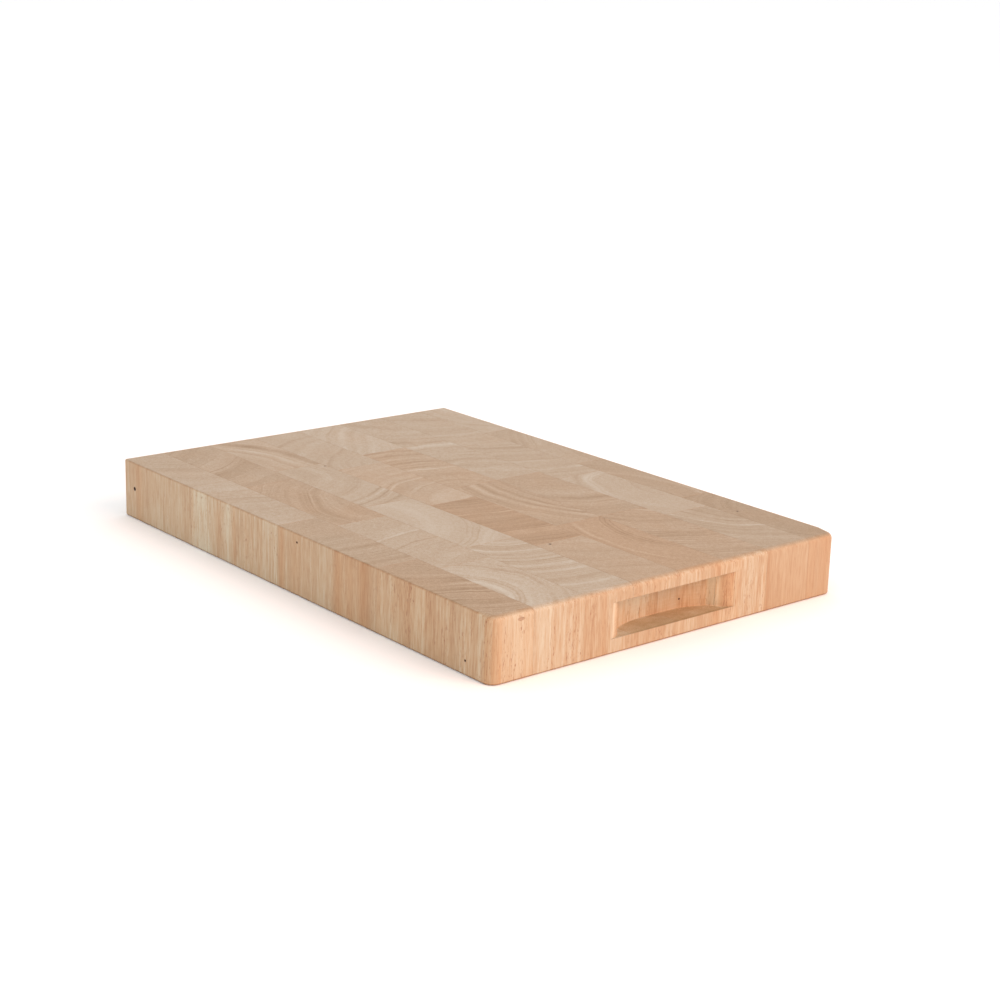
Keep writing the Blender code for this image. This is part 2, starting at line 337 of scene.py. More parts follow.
def ring(bm, outline, share, top):
    """Add the board's outline as a closed ring, part of the way round its top or its bottom edge."""
    angle = math.radians(90 * share)
    verts = []
    for x, y, outward, top_rounding in outline:
        rounding = top_rounding if top else EDGE_EASE
        inset = rounding * (1 - math.cos(angle))
        rise = rounding * (1 - math.sin(angle))
        z = CAD_HIGH.z - rise if top else CAD_LOW.z + rise
        verts.append(bm.verts.new((x - inset * math.cos(outward), y - inset * math.sin(outward), z)))
    return verts


def new_object(name, bm):
    """Turn a bmesh into an object of the scene, with its faces pointing out."""
    bmesh.ops.recalc_face_normals(bm, faces=bm.faces)
    mesh = bpy.data.meshes.new(name)
    bm.to_mesh(mesh)
    bm.free()
    obj = bpy.data.objects.new(name, mesh)
    bpy.context.scene.collection.objects.link(obj)
    return obj


def join_rings(name, bm, rings):
    """Make an object of rings of corners, with faces between them, below them and above them."""
    for lower, upper in zip(rings, rings[1:]):
        for i in range(len(lower)):
            j = (i + 1) % len(lower)
            bm.faces.new((lower[i], lower[j], upper[j], upper[i]))
    bm.faces.new(rings[0])
    bm.faces.new(rings[-1])
    return new_object(name, bm)


def board_blank():
    """Model the whole board without its grips."""
    bm = bmesh.new()
    outline = board_outline()
    rings = [ring(bm, outline, 1 - i / BOTTOM_EDGE_STEPS, False) for i in range(BOTTOM_EDGE_STEPS + 1)]
    rings += [ring(bm, outline, i / TOP_EDGE_STEPS, True) for i in range(TOP_EDGE_STEPS + 1)]
    return join_rings("board_blank", bm, rings)


def shoulder_wall():
    """Return (depth into the end, y) along the shoulder of a grip, from the end's face inwards."""
    wall = []
    for step in range(SHOULDER_STEPS + 1):
        slope = SHOULDER_FIRST_SLOPE + (SHOULDER_LAST_SLOPE - SHOULDER_FIRST_SLOPE) * step / SHOULDER_STEPS
        depth = SHOULDER_RADIUS * (math.cos(SHOULDER_FIRST_SLOPE) - math.cos(slope))
        width = SHOULDER_RADIUS * (math.sin(slope) - math.sin(SHOULDER_FIRST_SLOPE))
        wall.append((depth, GRIP_LENGTH / 2 - width))
    return wall


def grip_outline():
    """Return (depth into the end, y) along the wall of a grip."""
    wall = shoulder_wall()
    reach = GRIP_CUTTER_RADIUS - GRIP_DEPTH
    shoulder_depth, shoulder_y = wall[-1]
    widest = math.acos((shoulder_depth + reach) / GRIP_CUTTER_RADIUS)
    travel = shoulder_y - GRIP_CUTTER_RADIUS * math.sin(widest)
    for step in range(1, GRIP_ARC_STEPS + 1):
        angle = widest * (1 - step / GRIP_ARC_STEPS)
        depth = GRIP_CUTTER_RADIUS * math.cos(angle) - reach
        wall.append((depth, travel + GRIP_CUTTER_RADIUS * math.sin(angle)))
    return wall + [(depth, -y) for depth, y in reversed(wall)]


def grip_cutter(name, side):
    """Model the space of the grip in the right-hand (1) or the left-hand (-1) end."""
    bm = bmesh.new()
    half = GRIP_LENGTH / 2
    outline = [(-OVERCUT, half)] + grip_outline() + [(-OVERCUT, -half)]
    bottom = MIDDLE.z - GRIP_HEIGHT / 2
    verts = [bm.verts.new((side * (CAD_HIGH.x - depth), y, bottom)) for depth, y in outline]
    face = bm.faces.new(verts)
    walls = bmesh.ops.extrude_face_region(bm, geom=[face])
    raised = [v for v in walls["geom"] if isinstance(v, bmesh.types.BMVert)]
    bmesh.ops.translate(bm, verts=raised, vec=(0, 0, GRIP_HEIGHT))
    return new_object(name, bm)


def cut(obj, cutter, operation):
    """Change an object's mesh by an exact Boolean with a cutter."""
    modifier = obj.modifiers.new("cut", "BOOLEAN")
    modifier.object = cutter
    modifier.operation = operation
    modifier.solver = "EXACT"
    bpy.context.view_layer.update()
    shaped = obj.evaluated_get(bpy.context.evaluated_depsgraph_get())
    mesh = bpy.data.meshes.new_from_object(shaped)
    obj.modifiers.clear()
    old = obj.data
    obj.data = mesh
    bpy.data.meshes.remove(old)


def remove(obj):
    """Delete an object that only shaped others."""
    bpy.data.objects.remove(obj, do_unlink=True)


def is_lip(edge):
    """Tell whether an edge of the board lies on the mouth of a grip."""
    for v in edge.verts:
        on_end = abs(abs(v.co.x) - CAD_HIGH.x) < TOLERANCE
        in_mouth = abs(v.co.y) < GRIP_LENGTH / 2 + TOLERANCE
        in_height = abs(v.co.z - MIDDLE.z) < GRIP_HEIGHT / 2 + TOLERANCE
        if not (on_end and in_mouth and in_height):
            return False
    return edge.calc_face_angle(0) > SHARP_ANGLE


def is_root(edge):
    """Tell whether an edge of the board lies between the wall of a grip and its floor or its ceiling."""
    for v in edge.verts:
        at_height = abs(abs(v.co.z - MIDDLE.z) - GRIP_HEIGHT / 2) < TOLERANCE
        in_end = abs(v.co.y) < GRIP_LENGTH / 2 and abs(v.co.x) < CAD_HIGH.x - GRIP_ROOT_START
        if not (at_height and in_end):
            return False
    return edge.calc_face_angle(0) > SHARP_ANGLE


def bevel(bm, edges, width):
    """Round some edges of a mesh."""
    bmesh.ops.bevel(bm, geom=edges, offset=width, segments=GRIP_EASE_STEPS, profile=0.5, affect="EDGES")


def ease_grips(board):
    """Round the mouths of the grips a little, as sandpaper does, and the corners inside them, as the cutter
    does."""
    bm = bmesh.new()
    bm.from_mesh(board.data)
    bevel(bm, [e for e in bm.edges if is_root(e)], GRIP_ROOT_RADIUS)
    bevel(bm, [e for e in bm.edges if is_lip(e)], GRIP_LIP_EASE)
    bm.to_mesh(board.data)
    bm.free()


def whole_board():
    """Model the board in one piece, with its grips."""
    board = board_blank()
    for name, side in (("right_grip", 1), ("left_grip", -1)):
        cutter = grip_cutter(name, side)
        cut(board, cutter, "DIFFERENCE")
        remove(cutter)
    ease_grips(board)
    return board


def block_box(node):
    """Return the corners of a block's place: up to its glue lines, and past the board's own sides."""
    low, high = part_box(node)
    closing = (GLUE_LINE - SEEN_GLUE_LINE) / 2
    for axis in range(3):
        inside = low[axis] > CAD_LOW[axis] + GLUE_LINE / 4
        low[axis] -= closing if inside else OVERCUT
        inside = high[axis] < CAD_HIGH[axis] - GLUE_LINE / 4
        high[axis] += closing if inside else OVERCUT
    return low, high


def block_blank(node):
    """Model a block's space, which narrows from just inside the board's top and underside outwards, so that
    the edges along the joints are eased."""
    low, high = block_box(node)
    levels = (
        (low.z, CAD_LOW.z - low.z + JOINT_EASE),
        (CAD_LOW.z + JOINT_EASE, 0),
        (CAD_HIGH.z - JOINT_EASE, 0),
        (high.z, high.z - CAD_HIGH.z + JOINT_EASE),
    )
    bm = bmesh.new()
    rings = []
    for z, inset in levels:
        left, right = low.x + inset, high.x - inset
        front, back = low.y + inset, high.y - inset
        corners = ((left, front), (right, front), (right, back), (left, back))
        rings.append([bm.verts.new((x, y, z)) for x, y in corners])
    return join_rings(node + "_wood", bm, rings)


def worm_hole(point, face, width, depth):
    """Model the tapered, slightly uneven space of a worm hole that opens at a point of a face."""
    bm = bmesh.new()
    mouth = width * MM / 2
    ends = dict(radius1=WORM_HOLE_TAPER * mouth, radius2=mouth, depth=depth * MM)
    bmesh.ops.create_cone(bm, cap_ends=True, segments=WORM_HOLE_SIDES, **ends)
    for v in bm.verts:
        angle = math.atan2(v.co.y, v.co.x)
        v.co.x *= 1 + WORM_HOLE_OVAL * math.sin(2 * angle + width)
        v.co.y *= 1 + WORM_HOLE_LOBES * math.cos(3 * angle)
    sink = Matrix.Translation((0, 0, WORM_HOLE_OVERSHOOT - depth * MM / 2))
    turn = {
        "top": Matrix.Identity(4),
        "front": Matrix.Rotation(math.radians(90), 4, "X"),
        "right": Matrix.Rotation(math.radians(90), 4, "Y"),
    }[face]
    bm.transform(Matrix.Translation(Vector(point) * MM) @ turn @ sink)
    return new_object("worm_hole", bm)


def chip(point, size):
    """Model the shallow space of a chip."""
    bm = bmesh.new()
    bmesh.ops.create_icosphere(bm, subdivisions=CHIP_DETAIL, radius=0.5)
    bmesh.ops.scale(bm, verts=bm.verts, vec=Vector(size) * MM)
    for v in bm.verts:
        v.co.y += CHIP_SLANT * v.co.z
    bm.transform(Matrix.Translation(Vector(point) * MM))
    return new_object("chip", bm)


def build_block(node, board):
    """Cut one block out of the board, and give it its worm holes and chips."""
    block = block_blank(node)
    cut(block, board, "INTERSECT")
    cutters = [worm_hole(*hole) for name, *hole in WORM_HOLES if name == node]
    cutters += [chip(*place) for name, *place in CHIPS if name == node]
    for cutter in cutters:
        cut(block, cutter, "DIFFERENCE")
        remove(cutter)
    block.data.shade_smooth()
    block.data.set_sharp_from_angle(angle=SHARP_ANGLE)
    weighted = block.modifiers.new("flat_faces", "WEIGHTED_NORMAL")
    weighted.keep_sharp = True
    weighted.weight = NORMAL_WEIGHT
    return block


# ---------------- the wood


class Nodes:
    """Adds nodes to a node tree."""

    def __init__(self, tree):
        self.tree = tree

    def add(self, kind, inputs=None, **settings):
        """Add a shader node, with its settings, and its inputs set or linked by name or number."""
        node = self.tree.nodes.new("ShaderNode" + kind)
        for key, value in settings.items():
            setattr(node, key, value)
        for key, value in (inputs or {}).items():
            self.feed(node.inputs[key], value)
        return node

    def feed(self, socket, value):
        """Link a socket to another, or set it to a value."""
        if isinstance(value, bpy.types.NodeSocket):
            self.tree.links.new(value, socket)
        else:
            socket.default_value = value

    def math(self, operation, *values):
        """Add a Math node and return its output."""
        return self.add("Math", dict(enumerate(values)), operation=operation).outputs[0]

    def plus(self, a, b):
        """Add two numbers."""
        return self.math("ADD", a, b)

    def minus(self, a, b):
        """Subtract a number from another."""
        return self.math("SUBTRACT", a, b)

    def times(self, a, b):
        """Multiply two numbers."""
        return self.math("MULTIPLY", a, b)

    def times_plus(self, a, b, c):
        """Multiply two numbers and add a third."""
        return self.math("MULTIPLY_ADD", a, b, c)

    def vector(self, operation, *values, output="Vector"):
        """Add a Vector Math node and return its output."""
        node = self.add("VectorMath", dict(enumerate(values)), operation=operation)
        return node.outputs[output]

    def scaled(self, vector, factor):
        """Scale a vector by a factor and return it."""
        node = self.add("VectorMath", {0: vector, "Scale": factor}, operation="SCALE")
        return node.outputs["Vector"]

    def split(self, vector):
        """Return the three parts of a vector, by name."""
        return self.add("SeparateXYZ", {0: vector}).outputs

    def smooth(self, value, low, high):
        """Return a smooth step from 0 at low to 1 at high."""
        inputs = {"Value": value, "From Min": low, "From Max": high}
        return self.add("MapRange", inputs, interpolation_type="SMOOTHSTEP").outputs["Result"]

    def mix(self, factor, a, b, kind="MIX"):
        """Mix two colours."""
        node = self.add("Mix", data_type="RGBA", blend_type=kind)
        self.feed(node.inputs["Factor"], factor)
        self.feed(node.inputs["A"], a)
        self.feed(node.inputs["B"], b)
        return node.outputs["Result"]


def new_group(name, inputs, outputs):
    """Add a node group, and return it with the sockets of its input node and its output node."""
    tree = bpy.data.node_groups.new(name, "ShaderNodeTree")
    for way, sockets in (("INPUT", inputs), ("OUTPUT", outputs)):
        for socket, kind in sockets.items():
            tree.interface.new_socket(name=socket, in_out=way, socket_type="NodeSocket" + kind)
    given = tree.nodes.new("NodeGroupInput").outputs
    made = tree.nodes.new("NodeGroupOutput").inputs
    return tree, Nodes(tree), given, made


# How the growth rings run. Widths are in metres, and a detail is how often a noise varies in a metre.
SEED_SHIFT = (1.7, 2.3, 0.9)  # how far one step of the seed moves the noise
ALONG_GRAIN = 0.12  # how often the rings' noise varies along the grain, against across it
BEND_DETAIL = 22
BEND_WIDTH = 0.014
WOBBLE_DETAIL = 170
WOBBLE_WIDTH = 0.0016
UNEVEN_DETAIL = 60
UNEVEN_RINGS = 2.5  # how many rings the uneven spacing makes up
RING_SEED = 7.13
ROW_SEED = 3.0
NUMBER_SEED = 0.37
LATE_WOOD = (0.3, 0.93, 1.0)  # where in a ring its dark late wood begins, is darkest and ends
LATE_TONE = 0.25  # how dark it is at least
LATE_TONE_RANGE = 0.9  # how much darker it can be
BROAD_DETAIL = 0.5  # for each ring
BROAD_TONE = 2.2
FINE_DETAIL = 9  # for each ring
FINE_TONE = 0.7
MEAN_TONE = 0.25  # what brings the mean of the rings' tone to 0
PATCH_DETAIL = 34
PATCH_STRENGTH = 3.0


def shift_noise(n, place, detail):
    """Add a vector of noise round zero, from -0.5 to 0.5."""
    made = n.add("TexNoise", {"Vector": place, "Scale": detail, "Detail": 1}).outputs["Color"]
    return n.vector("SUBTRACT", made, (0.5, 0.5, 0.5))


def line_noise(n, place, detail):
    """Add noise along a line, from 0 to 1."""
    inputs = {"W": place, "Scale": 1, "Detail": detail}
    return n.add("TexNoise", inputs, noise_dimensions="1D").outputs["Fac"]


def pith_distance(n, given, place, slow):
    """Return the distance from the leaning pith line, with the bend and the wobble of real rings."""
    bend = n.scaled(shift_noise(n, slow, BEND_DETAIL), n.times(given["Bend"], BEND_WIDTH))
    wobble = n.vector("MULTIPLY", shift_noise(n, slow, WOBBLE_DETAIL), (WOBBLE_WIDTH, WOBBLE_WIDTH, 0))
    lean = n.scaled(given["Lean"], n.split(place)["Z"])
    away = n.vector("SUBTRACT", place, given["Pith"])
    for shift in (lean, bend, wobble):
        away = n.vector("ADD", away, shift)
    return n.vector("LENGTH", n.vector("MULTIPLY", away, (1, 1, 0)), output="Value")


def ring_tone(n, given, radius):
    """Return the tone of the rings at a distance from the pith."""
    along = n.times_plus(radius, UNEVEN_DETAIL, given["Seed"])
    count = n.math("DIVIDE", radius, given["Spacing"])
    count = n.times_plus(line_noise(n, along, 1), UNEVEN_RINGS, count)
    share = n.math("FRACT", count)
    number = n.times_plus(given["Seed"], RING_SEED, n.math("FLOOR", count))
    strength = n.add("TexWhiteNoise", {"W": number}, noise_dimensions="1D").outputs["Value"]
    begin, darkest, end = LATE_WOOD
    late = n.times(n.smooth(share, begin, darkest), n.smooth(share, end, darkest))
    late = n.times(late, n.times_plus(strength, LATE_TONE_RANGE, LATE_TONE))
    broad = line_noise(n, n.times_plus(count, BROAD_DETAIL, given["Seed"]), 2)
    broad = n.times(n.minus(broad, 0.5), BROAD_TONE)
    fine = line_noise(n, n.times(count, FINE_DETAIL), 2)
    fine = n.times(n.minus(fine, 0.5), FINE_TONE)
    rings = n.minus(n.plus(broad, fine), late)
    return n.plus(rings, MEAN_TONE)


def growth_rings():
    """Make the group that gives growth rings round an upright pith line.

    From Pith is the distance from the line, in metres, bent the way real rings are. Rings is the tone of the
    rings: below 0 where the wood is dark, above 0 where it is pale. Strength tells how clearly the rings
    show, on average 1."""
    inputs = {"Pith": "Vector", "Lean": "Vector", "Spacing": "Float", "Bend": "Float", "Seed": "Float"}
    outputs = {"From Pith": "Float", "Rings": "Float", "Strength": "Float"}
    tree, n, given, made = new_group("growth_rings", inputs, outputs)
    place = n.add("TexCoord").outputs["Object"]
    slow = n.vector("MULTIPLY", place, (1, 1, ALONG_GRAIN))
    slow = n.vector("ADD", slow, n.scaled(SEED_SHIFT, given["Seed"]))
    radius = pith_distance(n, given, place, slow)
    patches = n.add("TexNoise", {"Vector": slow, "Scale": PATCH_DETAIL, "Detail": 1}).outputs["Fac"]
    patches = n.minus(patches, 0.5)
    n.feed(made["From Pith"], radius)
    n.feed(made["Rings"], ring_tone(n, given, radius))
    n.feed(made["Strength"], n.times_plus(patches, PATCH_STRENGTH, 1))
    return tree


# The wood's colours, from the darkest rings to the palest, on the end grain and on the upright faces
END_GRAIN = ((0.0, (0.235, 0.150, 0.065)), (0.5, (0.371, 0.279, 0.183)), (1.0, (0.490, 0.445, 0.362)))
SIDE_GRAIN = ((0.0, (0.340, 0.175, 0.080)), (0.5, (0.468, 0.321, 0.192)), (1.0, (0.580, 0.530, 0.400)))
FLECK_COLOUR = (0.27, 0.105, 0.045)
GLUE_COLOUR = (0.25, 0.13, 0.06)
# painted shade inside the worm holes
HOLE_COLOUR = (0.06, 0.03, 0.017)
REDDER = (1.02, 0.96, 0.90)  # what one step of redness multiplies the colour by
MOST_RED = 2  # the most steps of redness
UPWARD_EDGE = (0.5, 1.0)  # how far up a face points where the end grain begins and is full
AVERAGE_SHADE = 0.5
SHADE_STEP = 0.055
RING_SHADE = 0.18
BAND_SHADE = 0.20
STRIPE_SHADE = 0.13
CALM_SHARE = 0.2  # how strongly the rings show where they are calmest
SIDE_SHARE = 0.5  # how strongly the rings show on the upright faces, against the end grain
LEAN_RANGE = 0.04  # how far a pith line can lean, against its height
SIDE_SHADE_RANGE = 0.9  # how many steps the upright faces that SIDES leaves out can be paler or darker

# The noises of the wood: how often each varies in a metre, across the grain and along it
OWN_SHIFT = (0.37, 0.53, 0.11)  # how far one step of the seed moves them
STREAKS = (330, 330, 9)
HAIRS = (1100, 1100, 75)
CLOUDS = (38, 38, 20)
PORES = (1500, 1500, 210)
PATCHES = (110, 110, 22)
WEAR = (160, 160, 160)
CUTTER_MARKS = (60, 60, 900)
REDNESS = (24, 24, 9)
REDNESS_RANGE = 1.6

# How strongly the noises show on the end grain and on the upright faces
TOP_GRAIN = {"streaks": 0.38, "hairs": 0.78, "clouds": 0.14}
SIDE_STREAKS = 0.6
SIDE_HAIRS = 1.1
SIDE_CLOUDS = 0.32
PALEST_HAIR = 0.08
SIDE_GRAIN_MEAN = 0.02
PORE_EDGE = (0.09, 0.19)  # where in their noise the pores begin and are full
PATCH_EDGE = (-0.08, 0.14)  # where in their noise the patches with more flecks begin and are full
FLECKS_EVERYWHERE = 0.15
FLECKS_IN_PATCHES = 0.75
FLECKS_ON_TOP = 0.20
FLECKS_ON_SIDES = 0.78  # on top of those

# The joints, the rubbed edges and the painted contact shade along the bottom edge
GLUE_WIDTH = 0.4 * MM
GLUE_SHARE = 0.4
GLUE_LEAST = 0.3
WORN_WIDTH = 1.6 * MM
WORN_MEAN = 0.6
WORN_TOP_SHADE = -0.32
WORN_SIDE_SHADE = -0.42
FOOT_WIDTH = 1.6 * MM  # of the painted contact shade along the edge that the board stands on
FOOT_SHADE = -0.6

# Inside the grips: painted light, as tints of the wood against the same wood outside, and the wood's shades
# there
GRIP_FLOOR_TINT = (1.25, 1.36, 1.40)
FAR_GRIP_FLOOR_TINT = (1.24, 1.17, 1.13)
GRIP_WALL_TINT = (1.18, 1.16, 1.14)
GRIP_PALEST = 0.60  # the palest shade of the walls
GRIP_START = (0.2 * MM, 1.2 * MM)  # the depth where the inside of the grips begins and is full
GRIP_BEHIND = (24 * MM, 23 * MM)
GRIP_MARGIN = 0.1 * MM
GRIP_CORNER = 1.5 * MM
GRIP_CORNER_SHADE = -0.10
GRIP_LIP = (4 * MM, 1 * MM)
GRIP_LIP_SHADE = -0.25
FLOOR_MARKS = 0.6
WALL_MARKS = 0.15

# Painted light and shade on the grips' walls, in stripes: (middle, begins, full, shade, redness). The middle
# is a place along the board's Y, and a stripe begins and is full at a distance from it, all in millimetres.
GRIP_STRIPES = (
    (100, 152, 160, 0.25, 0),
    (-24, 26, 12, 0.2, 0),
    (49, 4.5, 2, 0.28, 2.5),
    (-100, 151, 156, -0.22, 0),
)

# The surface
IOR = 1.45
ROUGHNESS = 0.50
PORE_ROUGHNESS = 0.25
WORN_ROUGHNESS = -0.12
GRIP_ROUGHNESS = 0.08
GLUE_RELIEF = 1.5
MARK_RELIEF = 3
BUMP_STRENGTH = 0.35
BUMP_HEIGHT = 0.12 * MM

# The painted shade in the worm holes and the chips, which begins and is full at shares of their width
HOLE_EDGE = (0.75, 0.45)
HOLE_DEPTH_SHARE = 0.15  # how much the distance along a hole counts
CHIP_EDGE = (0.75, 0.5)
CHIP_SHARE = 0.45


def colour_ramp(n, value, stops):
    """Add a ramp between colours and return its colour."""
    node = n.add("ValToRGB", {"Fac": value})
    ramp = node.color_ramp
    ramp.elements[0].position = stops[0][0]
    ramp.elements[0].color = stops[0][1] + (1,)
    ramp.elements[1].position = stops[-1][0]
    ramp.elements[1].color = stops[-1][1] + (1,)
    for position, colour in stops[1:-1]:
        ramp.elements.new(position).color = colour + (1,)
    return node.outputs["Color"]


def noise(n, place, stretch, detail):
    """Add noise round zero, from -0.5 to 0.5. stretch holds how often it varies in a metre of each axis."""
    stretched = n.vector("MULTIPLY", place, stretch)
    made = n.add("TexNoise", {"Vector": stretched, "Scale": 1, "Detail": detail}).outputs["Fac"]
    return n.minus(made, 0.5)


def glue_line(n, place, low, high):
    """Return 1 on the joints round a block's place, and 0 away from them."""
    gap = n.vector("MINIMUM", n.vector("SUBTRACT", place, low), n.vector("SUBTRACT", high, place))
    sides = n.split(gap)
    return n.smooth(n.math("MINIMUM", sides["X"], sides["Y"]), GLUE_WIDTH, 0)


def worn_edge(n, place):
    """Return 1 along the sharp edges of the long sides, and 0 away from them."""
    from_middle = n.vector("ABSOLUTE", n.vector("SUBTRACT", place, MIDDLE))
    sides = n.split(n.vector("SUBTRACT", CAD_HIGH - MIDDLE, from_middle))
    x, y, z = (sides[axis] for axis in "XYZ")
    second = n.math("MINIMUM", n.math("MAXIMUM", x, y), z)
    second = n.math("MAXIMUM", n.math("MINIMUM", x, y), second)
    edge = n.smooth(second, WORN_WIDTH, WORN_WIDTH / 4)
    return n.times(edge, n.smooth(x, END_ROUNDING, ROUNDED_CORNER_RADIUS))


def grip_marks(n, place):
    """Return masks of the inside of the grips, its corners and the lip of its floor, how much paler and
    redder its walls are by painted light and shade, and the height of the cutter's marks."""
    sides = n.split(n.vector("SUBTRACT", place, MIDDLE))
    depth = n.minus(CAD_HIGH.x, n.math("ABSOLUTE", sides["X"]))
    across = n.math("ABSOLUTE", sides["Y"])
    height = n.math("ABSOLUTE", sides["Z"])
    inside = n.times(n.smooth(depth, *GRIP_START), n.smooth(depth, *GRIP_BEHIND))
    inside = n.times(inside, n.math("LESS_THAN", height, GRIP_HEIGHT / 2 + GRIP_MARGIN))
    inside = n.times(inside, n.math("LESS_THAN", across, GRIP_LENGTH / 2))
    corner = n.smooth(height, GRIP_HEIGHT / 2 - GRIP_CORNER, GRIP_HEIGHT / 2)
    # painted light and shade on the walls, in stripes across Y
    paler = 0.0
    redder = 0.0
    for middle, begin, full, shade, redness in GRIP_STRIPES:
        gap = n.math("ABSOLUTE", n.minus(sides["Y"], middle * MM))
        stripe = n.smooth(gap, begin * MM, full * MM)
        paler = n.times_plus(stripe, shade, paler)
        redder = n.times_plus(stripe, redness, redder)
    return {
        "inside": inside,
        "corner": n.times(inside, corner),
        "lip": n.times(inside, n.smooth(depth, *GRIP_LIP)),
        "paler": n.times(inside, paler),
        "redder": n.times(inside, redder),
        "marks": n.times(inside, noise(n, place, CUTTER_MARKS, 1)),
    }


def top_shade(n, shade, grain, worn, grip):
    """Return the shade of the end grain with its streaks, hairs and clouds, rubbed edges and grips."""
    for name, strength in TOP_GRAIN.items():
        shade = n.times_plus(grain[name], strength, shade)
    shade = n.times_plus(worn, WORN_TOP_SHADE, shade)
    shade = n.times_plus(grip["lip"], GRIP_LIP_SHADE, shade)
    return n.times_plus(grip["marks"], FLOOR_MARKS, shade)


def side_shade(n, shade, strength, grain, worn, grip, height):
    """Return the shade of the upright faces with their grain, their rubbed edges, painted contact shade along
    their bottom edge and the walls of the grips, with painted light and shade on these."""
    lines = n.times(grain["streaks"], SIDE_STREAKS)
    lines = n.times_plus(n.math("MINIMUM", grain["hairs"], PALEST_HAIR), SIDE_HAIRS, lines)
    lines = n.times_plus(grain["clouds"], SIDE_CLOUDS, n.plus(lines, SIDE_GRAIN_MEAN))
    shade = n.times_plus(lines, strength, shade)
    shade = n.times_plus(worn, WORN_SIDE_SHADE, shade)
    # painted contact shade: darker along the bottom edge, where the board meets the floor
    foot = n.smooth(height, CAD_LOW.z + FOOT_WIDTH, CAD_LOW.z + FOOT_WIDTH / 3)
    shade = n.times_plus(foot, FOOT_SHADE, shade)
    shade = n.math("MINIMUM", shade, n.times_plus(grip["inside"], GRIP_PALEST - 1, 1))
    # painted light and shade on the grips' walls
    shade = n.plus(grip["paler"], shade)
    shade = n.times_plus(grip["marks"], WALL_MARKS, shade)
    return n.times_plus(grip["corner"], GRIP_CORNER_SHADE, shade)


def tinted(n, colour, mask, tint):
    """Multiply a colour by a tint where a mask is 1."""
    return n.mix(mask, colour, n.mix(1.0, colour, tint, "MULTIPLY"))


def grain_colour(n, top, side, end_grain, grip, x):
    """Return the colour of the wood, from the shades of its end grain and of its upright faces, with the
    painted light inside the grips.
    """
    at_right = n.math("GREATER_THAN", x, 0)
    # painted light: the floors and walls of the grips are tinted brighter than the same wood outside
    floor_tint = n.mix(at_right, FAR_GRIP_FLOOR_TINT + (1,), GRIP_FLOOR_TINT + (1,))
    end_colour = tinted(n, colour_ramp(n, top, END_GRAIN), grip["inside"], floor_tint)
    side_colour = tinted(n, colour_ramp(n, side, SIDE_GRAIN), grip["inside"], GRIP_WALL_TINT + (1,))
    return n.mix(end_grain, side_colour, end_colour)


def redden(n, colour, steps):
    """Make a colour redder by some steps."""
    reddest = tuple(part**MOST_RED for part in REDDER) + (1,)
    tint = n.mix(n.times(steps, 1 / MOST_RED), (1, 1, 1, 1), reddest)
    return n.mix(1.0, colour, tint, "MULTIPLY")


def fleck_share(n, pore, patches, strength, end_grain):
    """Return how strongly the pores darken the wood: as dots on the end grain, as flecks along the upright
    faces."""
    fleck = n.times(pore, strength)
    fleck = n.times(fleck, n.times_plus(patches, FLECKS_IN_PATCHES, FLECKS_EVERYWHERE))
    upright = n.minus(1, end_grain)
    return n.times(fleck, n.times_plus(upright, FLECKS_ON_SIDES, FLECKS_ON_TOP))


def wood_finish():
    """Make the group that turns the shades of a block into its colour, roughness and relief.

    Shade and Red are of the end grain, Side and Side Red of the upright faces, and Grain tells how strongly
    the grain shows on these."""
    inputs = dict.fromkeys(("Shade", "Side", "Red", "Side Red", "Grain", "Flecks", "Seed"), "Float")
    inputs |= {"Low": "Vector", "High": "Vector"}
    outputs = {"Color": "Color", "Roughness": "Float", "Height": "Float"}
    tree, n, given, made = new_group("wood_finish", inputs, outputs)
    coordinates = n.add("TexCoord").outputs
    place = coordinates["Object"]
    own = n.vector("ADD", place, n.scaled(OWN_SHIFT, given["Seed"]))
    upward = n.math("ABSOLUTE", n.split(coordinates["Normal"])["Z"])
    end_grain = n.smooth(upward, *UPWARD_EDGE)

    # the marks
    grain = {
        "streaks": noise(n, own, STREAKS, 3),
        "hairs": noise(n, own, HAIRS, 3),
        "clouds": noise(n, own, CLOUDS, 2),
    }
    pores = noise(n, own, PORES, 2)
    pore = n.smooth(pores, *PORE_EDGE)
    patches = n.smooth(noise(n, own, PATCHES, 1), *PATCH_EDGE)
    glue = glue_line(n, place, given["Low"], given["High"])
    glue = n.times(glue, n.plus(patches, GLUE_LEAST))
    worn = n.times(worn_edge(n, place), n.plus(noise(n, place, WEAR, 2), WORN_MEAN))
    grip = grip_marks(n, place)

    # the colour
    top = top_shade(n, given["Shade"], grain, worn, grip)
    side = side_shade(n, given["Side"], given["Grain"], grain, worn, grip, n.split(place)["Z"])
    colour = grain_colour(n, top, side, end_grain, grip, n.split(place)["X"])
    # the grips' walls are redder where their painted light is
    side_red = n.plus(grip["redder"], given["Side Red"])
    red = n.times_plus(end_grain, n.minus(given["Red"], side_red), side_red)
    colour = redden(n, colour, n.times_plus(noise(n, own, REDNESS, 1), REDNESS_RANGE, red))
    fleck = fleck_share(n, pore, patches, given["Flecks"], end_grain)
    colour = n.mix(fleck, colour, FLECK_COLOUR + (1,))
    colour = n.mix(n.times(glue, GLUE_SHARE), colour, GLUE_COLOUR + (1,))

    # the surface
    rough = n.times_plus(pores, PORE_ROUGHNESS, ROUGHNESS)
    rough = n.times_plus(grip["inside"], GRIP_ROUGHNESS, rough)
    rough = n.times_plus(worn, WORN_ROUGHNESS, rough)
    relief = n.minus(grain["hairs"], pore)
    relief = n.times_plus(glue, -GLUE_RELIEF, relief)
    n.feed(made["Color"], colour)
    n.feed(made["Roughness"], rough)
    n.feed(made["Height"], n.times_plus(grip["marks"], MARK_RELIEF, relief))
    return tree


